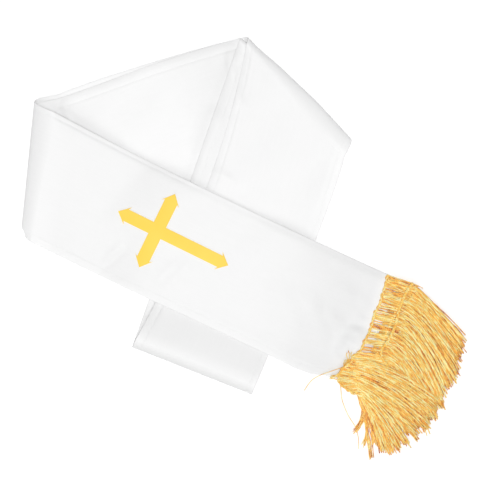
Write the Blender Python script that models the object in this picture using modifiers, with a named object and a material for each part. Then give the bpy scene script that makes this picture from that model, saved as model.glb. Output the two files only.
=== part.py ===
"""A clerical stole, doubled at the neck and laid flat in a loop.

The stole is one long lined strip of white satin, with a gold fringe on each
end and a gold cross near the front end. It is doubled at the middle of the
neck, and the doubled strip is folded across itself twice more. From the front
end it runs to the left fold, back below itself to the right fold, and down the
side to the neck fold, where the upper half turns under. The lower half follows
it back through inner folds, and ends just below the front end.

Each stretch between two folds is a wall of its own. ROWS places the lines
that cross the strip, and STRETCHES says which rows a stretch joins and at
which level of the pile it lies. The height of a wall follows from the cloth
below it, and from how far the soft folds and swells lift it.

Units are metres, +Z is up and the pile rests on the plane z = 0. Tables are
in millimetres and degrees, with angles from +X towards +Y.
"""

import math
from collections import namedtuple

import bmesh
import bpy
from mathutils import Vector

MM = 0.001

# ---------------------------------------------------------------- dimensions

STOLE_WIDTH = 125.0 * MM
WALL = 1.2 * MM              # satin, interlining and lining together
GAP = 0.5 * MM               # left between pieces that touch
PITCH = WALL + GAP           # one level of the pile
DRAPE_LEDGE = 8.0 * MM       # past a lower edge, how far cloth above stays up
DRAPE_REACH = 36.0 * MM      # and how far from there it takes to come down

BOX_X, BOX_Y = -0.67, 0.58   # middle of the part's box, as the tables count
BEND_STEPS = 8               # facets round a fold

CROSS_THICKNESS = 1.0 * MM
CROSS_LIFT = 0.5 * MM        # of the cross off the wall that it is sewn to
BARB_LENGTH = 11.2 * MM      # from the barbs to the point of an arm
BARB_HALF_SPAN = 9.5 * MM
BARB_SWEEP = 1.3 * MM        # how far the barbs reach back past their roots
CROSS_CELL = 7.0 * MM        # the cross bends from cell to cell
CELL_SNAP = 0.05 * MM        # a cell's edge this near to a corner goes through it

HEADER_STEPS = 3             # cells of a header, from the cloth to its strands
HEADER_ACROSS = 11           # and across the strip
HEADER_MARGIN = 0.01         # share of its edge that is bare at each side
STRAND_ROOT_RADIUS = 0.44 * MM
STRAND_TIP_RADIUS = 0.36 * MM
STRAND_SIDES = 3
STRAND_STEPS = 4             # straight pieces of a strand
STRAND_KNEE = 0.45           # share of a strand's length to where it turns
STRAND_SINK = 1.5 * MM       # how deep a strand's root sits in the header
RAGGED_TURN = 2.4            # radians from one strand's raggedness to the next
WELD_DISTANCE = 0.001 * MM

# A row is a line across the strip: its middle, the direction of its first end,
# and its length over the width of the strip, which is more than 1 on the slant.
# At a fold it also has how far into the cloth the fold rolls, at each end.
Row = namedtuple("Row", "x y angle spread roll_0 roll_1", defaults=(0.0, 0.0))
ROWS = {
    "front_end": Row(125.5, -82.6, 69.3, 0.98),
    "front_middle": Row(-52.4, -1.8, 74.8, 1.024),
    "left_fold": Row(-223.3, 83.8, 84.4, 1.10, 21.0, 12.0),
    "right_fold": Row(56.3, 166.7, 134.1, 1.185, 12.0, 12.0),
    "side_middle": Row(17.0, 39.3, 158.4, 1.0),
    "neck_fold": Row(-54.6, -122.7, 158.4, 1.064, 9.0, 9.0),
    "inner_right_fold": Row(46.0, 167.9, 135.3, 1.163, 9.5, 9.5),
    "inner_left_fold": Row(-220.1, 84.2, 85.1, 1.07, 19.0, 11.0),
    "under_middle": Row(-53.2, -1.6, 74.8, 1.02),
    "under_end": Row(121.0, -80.4, 69.3, 0.97),
    "header_edge": Row(148.2, -90.4, 67.1, 0.978),
    "under_header_edge": Row(144.2, -89.2, 67.1, 0.968),
}

# The stretches in their order along the strip. Level 0 lies on the ground.
# owns_start and owns_end say which of its two folds are part of a stretch.
# cells and across are the grid of its wall, along the strip and across it.
Stretch = namedtuple("Stretch", "name rows level owns_start owns_end cells across")
STRETCHES = (
    Stretch("front_stretch", ("front_end", "front_middle", "left_fold"), 5, False, True, 38, 11),
    Stretch("back_stretch_under", ("left_fold", "right_fold"), 0, False, False, 6, 3),
    Stretch("side_stretch", ("right_fold", "side_middle", "neck_fold"), 3, True, True, 31, 11),
    Stretch("side_stretch_under", ("neck_fold", "inner_right_fold"), 2, False, True, 31, 11),
    Stretch("back_stretch", ("inner_right_fold", "inner_left_fold"), 1, False, False, 18, 6),
    Stretch("front_stretch_under", ("inner_left_fold", "under_middle", "under_end"), 4, True, False,
            38, 11),
)

# How far a soft fold lifts the levels above its inner gap, and how far from
# the fold the lift reaches, at the first and at the second end of its row.
Loft = namedtuple("Loft", "row from_level height_0 height_1 reach_0 reach_1")
LOFTS = (
    Loft("left_fold", 4, 8.0, 5.0, 130.0, 60.0),
    Loft("right_fold", 2, 1.6, 5.5, 40.0, 45.0),
    Loft("neck_fold", 3, 5.5, 5.5, 40.0, 40.0),
)

# Round swells where the cloth doesn't lie close.
Swell = namedtuple("Swell", "x y reach height from_level")
SWELLS = (
    Swell(-33.0, 142.0, 58.0, 3.6, 2),      # free hem of the side stretch
    Swell(46.0, 18.0, 55.0, 2.5, 4),        # front stretch over the side hem
    Swell(113.0, -98.0, 26.0, 3.0, 5),      # puckered corner by the fringe
    Swell(96.0, -52.0, 30.0, 1.2, 5),
)

# The middle of the cross, and the direction of its long arm.
Place = namedtuple("Place", "x y angle")
CROSS = Place(-91.2, 20.1, -26.2)

# Arms of the cross: turn from the long arm, length and half width.
Arm = namedtuple("Arm", "turn length half_width")
ARMS = (
    Arm(0.0, 81.7, 6.45),
    Arm(90.0, 42.0, 7.0),
    Arm(180.0, 45.0, 6.45),
    Arm(270.0, 42.4, 7.0),
)

# Where strands end, and how they leave the header, at places along the fringe.
Tip = namedtuple("Tip", "place x y leaving")
FRONT_TIPS = (
    Tip(0.00, 230.0, -96.0, -36.0),
    Tip(0.15, 226.0, -121.0, -34.0),
    Tip(0.30, 214.0, -144.0, -36.0),
    Tip(0.45, 204.0, -167.0, -40.0),
    Tip(0.60, 191.0, -188.0, -46.0),
    Tip(0.75, 174.0, -205.0, -54.0),
    Tip(0.88, 152.0, -215.0, -63.0),
    Tip(1.00, 129.5, -221.5, -73.0),
)
UNDER_TIPS = (
    Tip(0.00, 225.0, -101.0, -36.0),
    Tip(0.20, 216.0, -130.0, -36.0),
    Tip(0.40, 201.0, -160.0, -40.0),
    Tip(0.60, 180.0, -188.0, -50.0),
    Tip(0.80, 147.0, -208.0, -64.0),
    Tip(1.00, 110.0, -190.0, -78.0),
)

# Layers of strands: count, height of the roots above the header's underside,
# heights of the belly and the tips above the ground, and the share of the
# length that the shortest strands lack.
Layer = namedtuple("Layer", "count root belly tip ragged")
FRONT_LAYERS = (
    Layer(68, 0.50, 2.2, 2.2, 0.10),
    Layer(68, 1.45, 4.2, 3.5, 0.13),
)
UNDER_LAYERS = (
    Layer(60, 0.65, 0.85, 0.85, 0.12),
)

# A fringe: the stretch that it ends, the rows at its header's two edges, and
# the header's thickness.
Fringe = namedtuple("Fringe", "name stretch end edge thickness tips layers")
FRINGES = (
    Fringe("front_fringe", "front_stretch", "front_end", "header_edge", 2.0, FRONT_TIPS, FRONT_LAYERS),
    Fringe("under_fringe", "front_stretch_under", "under_end", "under_header_edge", 1.2,
           UNDER_TIPS, UNDER_LAYERS),
)

# ------------------------------------------------------------------ geometry


def smooth(x):
    """Rise smoothly from 0 to 1 as x goes from 0 to 1."""
    x = min(max(x, 0.0), 1.0)
    return x * x * (3.0 - 2.0 * x)


def mix(a, b, share):
    return a + (b - a) * share


def direction(angle):
    return Vector((math.cos(math.radians(angle)), math.sin(math.radians(angle))))


def spot(entry):
    """Where a table's entry is in plan, about the middle of the part's box."""
    return Vector((entry.x - BOX_X, entry.y - BOX_Y)) * MM


def row_point(row, across):
    """The plan point of a row, from across = 0 at its first end to 1."""
    half = 0.5 * STOLE_WIDTH * row.spread
    return spot(row) + direction(row.angle) * half * (1.0 - 2.0 * across)


def outline(stretch):
    """The corners of a stretch in plan, with its fringe's header."""
    names = list(stretch.rows)
    for fringe in FRINGES:
        if fringe.stretch == stretch.name:
            names[names.index(fringe.end)] = fringe.edge
    rows = [ROWS[name] for name in names]
    return [row_point(row, 0.0) for row in rows] + [row_point(row, 1.0) for row in reversed(rows)]


def distance_outside(corners, point):
    """How far a plan point lies outside a polygon, or 0 inside it."""
    inside = False
    nearest = math.inf
    for start, end in zip(corners, corners[1:] + corners[:1]):
        side = end - start
        along = min(max((point - start).dot(side) / side.length_squared, 0.0), 1.0)
        nearest = min(nearest, (point - start - side * along).length)
        if (start.y > point.y) != (end.y > point.y):
            if point.x < start.x + side.x * (point.y - start.y) / side.y:
                inside = not inside
    return 0.0 if inside else nearest


OUTLINES = {stretch.name: outline(stretch) for stretch in STRETCHES}
LEVELS = {stretch.name: stretch.level for stretch in STRETCHES}


def inward(row_name, stretch):
    """The unit plan vector from a fold into the stretch that it ends."""
    row = ROWS[row_name]
    far = ROWS[stretch.rows[0] if stretch.rows[-1] == row_name else stretch.rows[-1]]
    normal = direction(row.angle + 90.0)
    towards = Vector((far.x - row.x, far.y - row.y))
    return normal if normal.dot(towards) > 0.0 else -normal


def lofted(loft, point):
    """The lift of a soft fold above a plan point."""
    row = ROWS[loft.row]
    owner = next(s for s in STRETCHES if loft.row in s.rows)
    start = row_point(row, 0.0)
    line = row_point(row, 1.0) - start
    share = min(max((point - start).dot(line) / line.length_squared, 0.0), 1.0)
    away = max((point - start).dot(inward(loft.row, owner)), 0.0)
    reach = mix(loft.reach_0, loft.reach_1, share) * MM
    return mix(loft.height_0, loft.height_1, share) * MM * (1.0 - smooth(away / reach))


def swollen(swell, point):
    away = (point - spot(swell)).length
    return swell.height * MM * (1.0 - smooth(away / (swell.reach * MM)))


def height(level, point):
    """The height of the middle of a wall at a level, above a plan point."""
    z = WALL / 2.0
    for below in STRETCHES:
        if below.level < level:
            outside = distance_outside(OUTLINES[below.name], point)
            z += PITCH * (1.0 - smooth((outside - DRAPE_LEDGE) / DRAPE_REACH))
    for lift, table in ((lofted, LOFTS), (swollen, SWELLS)):
        z += sum(lift(entry, point) for entry in table if level >= entry.from_level)
    return z


def partner(stretch, row_name):
    """The stretch beyond a fold."""
    step = 1 if stretch.rows[-1] == row_name else -1
    return STRETCHES[STRETCHES.index(stretch) + step]


def leaving(stretch, row_name, across):
    """The plan direction of the cloth's line from a fold into a stretch, at
    such a length that it goes one unit away from the fold."""
    names = stretch.rows if stretch.rows[0] == row_name else stretch.rows[::-1]
    line = row_point(ROWS[names[1]], across) - row_point(ROWS[row_name], across)
    return line / line.dot(inward(row_name, stretch))


def bend_ends(stretch, row_name, across):
    """How far a fold rolls in, and where it meets the stretch and its partner."""
    row = ROWS[row_name]
    edge = row_point(row, across)
    roll = mix(row.roll_0, row.roll_1, across) * MM
    here, there = (edge + leaving(side, row_name, across) * roll
                   for side in (stretch, partner(stretch, row_name)))
    return roll, here, there


def is_fold(row_name):
    return row_name.endswith("fold")


def sheet_row(stretch, row_name, across):
    """Where the flat part of a stretch meets a row."""
    if not is_fold(row_name):
        return row_point(ROWS[row_name], across)
    owned = stretch.owns_start if row_name == stretch.rows[0] else stretch.owns_end
    seam = 0.0 if owned else GAP
    return bend_ends(stretch, row_name, across)[1] + leaving(stretch, row_name, across) * seam


def sheet_point(rows, along):
    """A curve through the points of two or three rows, along from 0 to 1."""
    if len(rows) == 2:
        return mix(rows[0], rows[1], along)
    start, middle, end = rows
    return (start * (1.0 - along) * (1.0 - 2.0 * along)
            + middle * 4.0 * along * (1.0 - along)
            + end * along * (2.0 * along - 1.0))


def bend_column(stretch, row_name, across):
    """Points round a fold, half an ellipse from the stretch to its partner."""
    roll, here, there = bend_ends(stretch, row_name, across)
    inside = inward(row_name, stretch)
    z_here = height(stretch.level, here)
    z_there = height(partner(stretch, row_name).level, there)
    points = []
    for step in range(1, BEND_STEPS + 1):
        angle = math.pi * step / BEND_STEPS
        plan = mix(here, there, step / BEND_STEPS) - inside * roll * math.sin(angle)
        z = mix(z_here, z_there, 0.5 - 0.5 * math.cos(angle))
        points.append(plan.to_3d() + Vector((0.0, 0.0, z)))
    return points


def stretch_column(stretch, across):
    """Points of a stretch along one line of the cloth, with its own folds."""
    rows = [sheet_row(stretch, name, across) for name in stretch.rows]
    points = []
    if stretch.owns_start:
        points += reversed(bend_column(stretch, stretch.rows[0], across))
    for step in range(stretch.cells + 1):
        plan = sheet_point(rows, step / stretch.cells)
        points.append(plan.to_3d() + Vector((0.0, 0.0, height(stretch.level, plan))))
    if stretch.owns_end:
        points += bend_column(stretch, stretch.rows[-1], across)
    return points


# ------------------------------------------------------------------ modelling


def clear_scene():
    for obj in list(bpy.data.objects):
        bpy.data.objects.remove(obj)


def make_material(name, colour, roughness, metallic=0.0):
    material = bpy.data.materials.new(name)
    material.use_nodes = True
    shader = material.node_tree.nodes["Principled BSDF"]
    shader.inputs["Base Color"].default_value = (*colour, 1.0)
    shader.inputs["Roughness"].default_value = roughness
    shader.inputs["Metallic"].default_value = metallic
    return material


def add_object(name, mesh, material, collection):
    obj = bpy.data.objects.new(name, mesh)
    if material:
        mesh.materials.append(material)
    collection.objects.link(obj)
    return obj


def grid_mesh(name, columns):
    """An open surface through columns of points, one column beside another."""
    across, along = len(columns) - 1, len(columns[0]) - 1
    surface = bmesh.new()
    bmesh.ops.create_grid(surface, x_segments=across, y_segments=along, size=0.5)
    for vertex in surface.verts:
        column = round((vertex.co.x + 0.5) * across)
        vertex.co = columns[column][round((vertex.co.y + 0.5) * along)]
    mesh = bpy.data.meshes.new(name)
    surface.to_mesh(mesh)
    surface.free()
    return mesh


def solidify(obj, thickness, offset=0.0):
    shell = obj.modifiers.new("wall", "SOLIDIFY")
    shell.thickness = thickness
    shell.offset = offset
    return obj


def build_stretch(stretch, material, collection):
    columns = [stretch_column(stretch, i / stretch.across) for i in range(stretch.across + 1)]
    obj = add_object(stretch.name, grid_mesh(stretch.name, columns), material, collection)
    return solidify(obj, WALL)


def cross_outline():
    """The flat outline of the cross about its middle, arm by arm."""
    points = []
    for arm, following in zip(ARMS, ARMS[1:] + ARMS[:1]):
        outward = direction(CROSS.angle + arm.turn)
        left = direction(CROSS.angle + arm.turn + 90.0)
        length = arm.length * MM
        width = arm.half_width * MM
        root = length - BARB_LENGTH + BARB_SWEEP
        profile = ((root, -width), (root - BARB_SWEEP, -BARB_HALF_SPAN), (length, 0.0),
                   (root - BARB_SWEEP, BARB_HALF_SPAN), (root, width),
                   (following.half_width * MM, width))
        points += [outward * x + left * y for x, y in profile]
    return points


def build_cross(material, collection):
    """The cross lies on the front stretch and follows its surface."""
    middle = spot(CROSS)
    surface = bmesh.new()
    corners = [surface.verts.new(point.to_3d()) for point in cross_outline()]
    surface.faces.new(corners)
    for turn in (0.0, 90.0):
        normal = direction(CROSS.angle + turn).to_3d()
        reach = round(max(arm.length for arm in ARMS) * MM / CROSS_CELL)
        for step in range(-reach, reach + 1):
            everything = surface.verts[:] + surface.edges[:] + surface.faces[:]
            place = normal * (step + 0.5) * CROSS_CELL
            bmesh.ops.bisect_plane(surface, geom=everything, plane_co=place, plane_no=normal, dist=CELL_SNAP)
    for vertex in surface.verts:
        plan = middle + vertex.co.to_2d()
        rise = 0.5 * WALL + CROSS_LIFT + 0.5 * CROSS_THICKNESS
        vertex.co = plan.to_3d() + Vector((0.0, 0.0, height(LEVELS["front_stretch"], plan) + rise))
    mesh = bpy.data.meshes.new("cross")
    surface.to_mesh(mesh)
    surface.free()
    return solidify(add_object("cross", mesh, material, collection), CROSS_THICKNESS)


def header_columns(fringe):
    """The header runs on from the end of its stretch, level with the wall."""
    columns = []
    for i in range(HEADER_ACROSS + 1):
        start = row_point(ROWS[fringe.end], i / HEADER_ACROSS)
        edge = row_point(ROWS[fringe.edge], i / HEADER_ACROSS)
        start += (edge - start).normalized() * GAP
        column = []
        for step in range(HEADER_STEPS + 1):
            plan = mix(start, edge, step / HEADER_STEPS)
            z = underside(fringe, plan) + 0.5 * fringe.thickness * MM
            column.append(plan.to_3d() + Vector((0.0, 0.0, z)))
        columns.append(column)
    return columns


def underside(fringe, plan):
    return height(LEVELS[fringe.stretch], plan) - 0.5 * WALL


def tip_at(tips, place):
    """The entry of a table of tips at any place, between its rows."""
    for before, after in zip(tips, tips[1:]):
        if place <= after.place:
            share = (place - before.place) / (after.place - before.place)
            return Tip(*(mix(a, b, share) for a, b in zip(before, after)))
    return tips[-1]


def strand_points(fringe, layer, index):
    """The middle line of one strand, from inside the header to its tip."""
    place = (index + 0.5) / layer.count
    tip = tip_at(fringe.tips, place)
    root = row_point(ROWS[fringe.edge], mix(HEADER_MARGIN, 1.0 - HEADER_MARGIN, place))
    end = spot(tip)
    knee = root + direction(tip.leaving) * STRAND_KNEE * (end - root).length
    heights = (underside(fringe, root) + layer.root * MM, layer.belly * MM, layer.tip * MM)
    sunk = root - direction(tip.leaving) * STRAND_SINK
    points = [sunk.to_3d() + Vector((0.0, 0.0, heights[0]))]
    full = 1.0 - layer.ragged * (0.5 + 0.5 * math.sin(index * RAGGED_TURN))
    for step in range(1, STRAND_STEPS + 1):
        t = full * step / STRAND_STEPS
        weights = ((1.0 - t) ** 2, 2.0 * t * (1.0 - t), t * t)
        plan = root * weights[0] + knee * weights[1] + end * weights[2]
        z = sum(w * h for w, h in zip(weights, heights))
        points.append(plan.to_3d() + Vector((0.0, 0.0, z)))
    return points


def strands_mesh(name, strands, collection):
    """Tapering strands, each a closed tube with flat sides."""
    profile = bpy.data.curves.new("strand_profile", "CURVE")
    ring = profile.splines.new("POLY")
    ring.points.add(STRAND_SIDES - 1)
    for corner, point in enumerate(ring.points):
        point.co = (*direction(90.0 - 360.0 * corner / STRAND_SIDES), 0.0, 1.0)
    ring.use_cyclic_u = True
    guide = bpy.data.objects.new("strand_guide", profile)
    guide.hide_render = True
    guide.display_type = "WIRE"
    collection.objects.link(guide)

    curve = bpy.data.curves.new(name, "CURVE")
    curve.dimensions = "3D"
    curve.bevel_mode = "OBJECT"
    curve.bevel_object = guide
    curve.use_fill_caps = True
    for points in strands:
        spline = curve.splines.new("POLY")
        spline.points.add(len(points) - 1)
        for step, (point, place) in enumerate(zip(spline.points, points)):
            point.co = (*place, 1.0)
            point.radius = mix(STRAND_ROOT_RADIUS, STRAND_TIP_RADIUS, step / (len(points) - 1))
    tubes = bpy.data.objects.new(name, curve)
    collection.objects.link(tubes)
    bpy.context.view_layer.update()
    mesh = bpy.data.meshes.new_from_object(tubes.evaluated_get(bpy.context.evaluated_depsgraph_get()))
    bpy.data.objects.remove(tubes)
    bpy.data.objects.remove(guide)
    closed = bmesh.new()
    closed.from_mesh(mesh)
    bmesh.ops.remove_doubles(closed, verts=closed.verts, dist=WELD_DISTANCE)
    closed.to_mesh(mesh)
    closed.free()
    return mesh


def build_fringe(fringe, material, collection, cutters):
    """A header with its strands, whose roots are fused into it."""
    header = add_object(fringe.name, grid_mesh(fringe.name, header_columns(fringe)), material, collection)
    solidify(header, fringe.thickness * MM)
    strands = [strand_points(fringe, layer, index)
               for layer in fringe.layers for index in range(layer.count)]
    name = fringe.name + "_strands"
    loose = add_object(name, strands_mesh(name, strands, cutters), None, cutters)
    loose.hide_render = True
    loose.display_type = "WIRE"
    joined = header.modifiers.new("strands", "BOOLEAN")
    joined.operation = "UNION"
    joined.object = loose
    return header


def main():
    clear_scene()
    stole = bpy.data.collections.new("clerical_stole")
    cutters = bpy.data.collections.new("joined_strands")
    for collection in (stole, cutters):
        bpy.context.scene.collection.children.link(collection)
    satin = make_material("white_satin", (0.90, 0.90, 0.91), 0.42)
    gold_cloth = make_material("gold_cloth", (0.93, 0.68, 0.12), 0.50)
    gold_thread = make_material("gold_thread", (0.86, 0.55, 0.12), 0.40)

    for stretch in STRETCHES:
        build_stretch(stretch, satin, stole)
    build_cross(gold_cloth, stole)
    for fringe in FRINGES:
        build_fringe(fringe, gold_thread, stole, cutters)


main()
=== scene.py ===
import math
import random
from collections import namedtuple

import bmesh
import bpy
import numpy as np
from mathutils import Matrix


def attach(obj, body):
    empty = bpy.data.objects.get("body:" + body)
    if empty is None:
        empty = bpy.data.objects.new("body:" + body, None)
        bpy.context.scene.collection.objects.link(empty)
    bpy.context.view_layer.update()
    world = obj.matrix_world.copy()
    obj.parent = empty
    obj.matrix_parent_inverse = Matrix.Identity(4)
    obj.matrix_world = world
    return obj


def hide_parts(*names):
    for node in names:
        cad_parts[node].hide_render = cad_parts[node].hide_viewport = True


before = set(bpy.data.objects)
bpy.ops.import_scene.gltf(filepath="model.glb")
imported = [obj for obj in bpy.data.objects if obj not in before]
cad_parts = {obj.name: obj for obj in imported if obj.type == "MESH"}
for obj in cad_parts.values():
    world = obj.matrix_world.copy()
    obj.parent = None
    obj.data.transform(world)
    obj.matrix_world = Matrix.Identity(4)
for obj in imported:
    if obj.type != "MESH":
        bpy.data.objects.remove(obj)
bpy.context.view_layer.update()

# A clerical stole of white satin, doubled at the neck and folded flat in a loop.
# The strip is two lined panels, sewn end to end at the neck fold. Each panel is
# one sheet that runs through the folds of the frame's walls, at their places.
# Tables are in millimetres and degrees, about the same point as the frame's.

MM = 0.001

# ------------ shape of the pile

STOLE_WIDTH = 125.0 * MM
WALL = 1.2 * MM  # of the frame's solids, whose pile this one repeats
PITCH = 1.7 * MM  # one level of the pile
DRAPE_LEDGE = 8.0 * MM  # beyond a layer's edge, before the cloth above it sinks
DRAPE_REACH = 62.0 * MM  # over which it then sinks
MIDDLE = np.array((-0.67, 0.58))  # the frame's own middle, in the tables
BEND_STEPS = 18  # round a fold
CORNER_REACH = 11.0 * MM  # of a drawn-in corner, along its fold
CELL = 2.2 * MM  # length of a cell along the strip
TINY = 1e-12  # keeps a line of no length from dividing by zero

# A row is a line across the strip: its middle, direction and length over the
# width of the strip, the widths of the hems where they cross it, and at a fold
# how far into the cloth it rolls, each at its first and at its second end. Last
# comes how far a fold's corner is drawn in at its second end.
Row = namedtuple("Row", "x y angle spread hem_0 hem_1 roll_0 roll_1 corner",
                 defaults=(0.0, 0.0, 0.0, 0.0, 0.0))
ROWS = {
    "front_tuck": Row(137.3, -87.3, 68.2, 0.969, 3.4, 7),
    "front_middle": Row(-52.5, -2.3, 74.8, 1.032, 3.4, 7),
    "left_fold": Row(-224.9, 83.1, 84.2, 1.118, 4.4, 6.6, 21, 12, 5),
    "right_fold": Row(55.6, 167.4, 134.1, 1.20, 6.2, 6.6, 8, 17),
    "side_middle": Row(17, 39.3, 158.4, 1, 7.6, 6.6),
    "neck_fold": Row(-55.3, -124.6, 158.4, 1.064, 7.6, 6.6, 9, 9),
    "inner_right_fold": Row(46, 167.9, 135.3, 1.163, 9.6, 7, 3, 9.5),
    "inner_left_fold": Row(-221.3, 83.8, 84.9, 1.064, 9.6, 7, 19, 11, 5),
    "under_middle": Row(-53.2, -1.6, 74.8, 1.02, 7, 7),
    "under_tuck": Row(131.5, -84.4, 68.2, 0.969, 7, 7),
    "header_edge": Row(148.2, -90.4, 67.1, 0.978),
    "under_header_edge": Row(144.2, -89.2, 67.1, 0.968),
}

# How far a fold bows out, at shares of the way from its first to its second end,
# and how far the two sides of a stretch bow out, at shares of the way along it.
# The front's second side is gathered in under the fringe's header.
FOLD_BOWS = {
    "right_fold": ((0, -1.9), (0.1, -1.9), (0.3, 0.7), (0.65, 2.9), (1, 1.6)),
    "inner_right_fold": ((0, 0), (0.12, 2.2), (0.3, 1), (1, 0)),
}
LEVEL_SIDE = ((0, 0), (1, 0))
TOP_SIDE = ((0, 0), (0.1, 1.4), (0.25, 2.6), (0.5, 3), (0.75, 2.6), (0.9, 1.4),
            (1, 0))
INNER_TOP_SIDE = ((0, 0), (0.1, 1.4), (0.25, 2.6), (0.5, 2.4), (0.75, 0.6), (0.9, -0.4),
                  (1, 0))
GATHERED_SIDE = ((0, -14), (0.05, -7.7), (0.07, -2.6), (0.1, 2), (0.12, 4),
                 (0.16, 4.5), (0.25, 2.4), (0.45, 0), (1, 0))
SIDE_BOWS = {
    "back_stretch_under": (TOP_SIDE, LEVEL_SIDE),
    "back_stretch": (INNER_TOP_SIDE, LEVEL_SIDE),
    "front_stretch": (LEVEL_SIDE, GATHERED_SIDE),
}

# A stretch between folds: its rows, its level in the pile, and the row that ends
# its outline in place of its tuck, where a fringe's header goes on from it.
TOP_LEVEL = 5
Stretch = namedtuple("Stretch", "name rows level edge", defaults=(None,))
STRETCHES = (
    Stretch("front_stretch", ("front_tuck", "front_middle", "left_fold"), TOP_LEVEL,
            "header_edge"),
    Stretch("back_stretch_under", ("left_fold", "right_fold"), 0),
    Stretch("side_stretch", ("right_fold", "side_middle", "neck_fold"), 3),
    Stretch("side_stretch_under", ("neck_fold", "inner_right_fold"), 2),
    Stretch("back_stretch", ("inner_right_fold", "inner_left_fold"), 1),
    Stretch("front_stretch_under", ("inner_left_fold", "under_middle", "under_tuck"), 4,
            "under_header_edge"),
)

# Lofts lift the cloth beside a fold: their levels, and at each end of the fold
# their height and how far they reach from it.
Loft = namedtuple("Loft", "row from_level height_0 height_1 reach_0 reach_1")
LOFTS = (
    Loft("left_fold", 4, 8.5, 5, 165, 60),
    Loft("right_fold", 2, 0.8, 1, 40, 45),
    Loft("neck_fold", 3, 4.8, 4.8, 72, 72),
)

# Swells along a line: how far they reach from it, how high they are, and the
# first of the levels that they lift.
SWELLS = (
    (-33, 142, -33, 142, 58, 1.2, 2),
    (-42, 108, -34, 134, 20, 1.2, 1),
    (-54, 74, 2, 236, 11, 0.6, 1),
    (46, 18, 46, 18, 55, 2, 4),
    (113, -98, 113, -98, 26, 3, 5),
    (96, -52, 96, -52, 34, 0.8, 5),
)

# Creases and pinches of each stretch: a line, how wide it is to each side, and
# its height. They fade out past the ends of the line, over a share of its length.
CREASES = {
    "front_stretch": (
        (-122, 1, -152, -22, 3.4, -0.55),
        (-128, 5, -146, -10, 3, 0.7),
        (-60, -14, -84, -38, 2.6, 0.35),
        (-72, -12, -92, -30, 2.6, 0.3),
        (119, -50, 130, -60, 4.5, 0.5),
        (114, -69, 127, -75, 3.4, 0.7),
        (108, -82, 121, -86, 3.6, 0.6),
        (104, -90, 108, -99, 3.4, 0.5),
        (94, -103, 105, -112, 4.5, 0.8),
        (84, -62, 100, -84, 7, 0.8),
        (64, -48, 84, -92, 9, 0.9),
        (98, -38, 114, -52, 8, 0.4),
        (32, -36, 50, -76, 12, 0.8),
    ),
    "back_stretch": (
        (-189.5, 153, -181, 136, 3.4, 1),
        (-18, 204, -14, 178, 3.4, 0.8),
        (-9, 206, -8, 182, 3, 0.7),
    ),
    "side_stretch": (
        (-34, 82, -12, 70, 5, 0.7),
        (110, 138, 76, 34, 18, -0.8),
        (-12, 170, -6, 148, 6, 0.8),
    ),
}
CREASE_FADE = 0.35

# Slow waves of loose cloth: their strength, their length in x and y, and phase.
WAVES = ((1.0, 17.0, 31.0, 0.0), (1.0, -41.0, 13.0, 1.7), (0.6, 8.5, -11.0, 0.6))
WAVE_HEIGHT = 0.13 * MM


def off_line(points, start, end):
    """How far plan points lie from a stretch of line, or from one point."""
    line = end - start
    along = np.clip((points - start) @ line / max(line @ line, TINY), 0.0, 1.0)
    return np.linalg.norm(points - start - along[..., None] * line, axis=-1)


def smooth(x):
    """Rise smoothly from 0 to 1 as x goes from 0 to 1."""
    x = np.clip(x, 0.0, 1.0)
    return x * x * (3.0 - 2.0 * x)


def mix(a, b, share):
    """Go from a to b as share goes from 0 to 1."""
    return a + (b - a) * share


def direction(angle):
    """The unit plan vector at an angle in degrees."""
    return np.array((math.cos(math.radians(angle)), math.sin(math.radians(angle))))


def raised(at, z):
    """Points in space, from plan points and their heights."""
    return np.concatenate((at, z[..., None]), axis=-1)


def unit(vectors):
    """The vectors, each one long."""
    return vectors / np.linalg.norm(vectors, axis=-1)[..., None]


def distances(points):
    """How far along a line each of its points is, or of rows of points, as a mean."""
    steps = np.linalg.norm(np.diff(points, axis=0), axis=-1)
    return np.concatenate(([0.0], np.cumsum(steps.reshape(len(steps), -1).mean(axis=1))))


def plan(*xy):
    """A table's place, or its places, in the frame's plan in metres."""
    return (np.array(xy) - MIDDLE) * MM


def row_point(row, across):
    """Plan points of a row, from across = 0 at its first end to 1."""
    half = 0.5 * STOLE_WIDTH * row.spread
    from_middle = half * (1.0 - 2.0 * np.asarray(across))
    return plan(row.x, row.y) + direction(row.angle) * from_middle[..., None]


def outline(stretch):
    """The corners of a stretch in plan."""
    rows = [ROWS[stretch.edge if name.endswith("tuck") else name] for name in stretch.rows]
    return [row_point(row, 0.0) for row in rows] + [row_point(row, 1.0) for row in reversed(rows)]


def distance_outside(corners, points):
    """How far plan points lie outside a polygon, or 0 inside it."""
    inside = np.zeros(points.shape[:-1], bool)
    nearest = np.full(points.shape[:-1], np.inf)
    for start, end in zip(corners, corners[1:] + corners[:1]):
        side = end - start
        nearest = np.minimum(nearest, off_line(points, start, end))
        crossed = (start[1] > points[..., 1]) != (end[1] > points[..., 1])
        up = (points[..., 1] - start[1]) / side[1]
        inside ^= crossed & (points[..., 0] < start[0] + side[0] * up)
    return np.where(inside, 0.0, nearest)


OUTLINES = {stretch.name: outline(stretch) for stretch in STRETCHES}
BY_NAME = {stretch.name: stretch for stretch in STRETCHES}


def inward(row_name, stretch):
    """The unit plan vector from a fold into the stretch that it ends."""
    row = ROWS[row_name]
    far = ROWS[stretch.rows[0] if stretch.rows[-1] == row_name else stretch.rows[-1]]
    normal = direction(row.angle + 90.0)
    towards = np.array((far.x - row.x, far.y - row.y))
    return normal if normal @ towards > 0.0 else -normal


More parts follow.
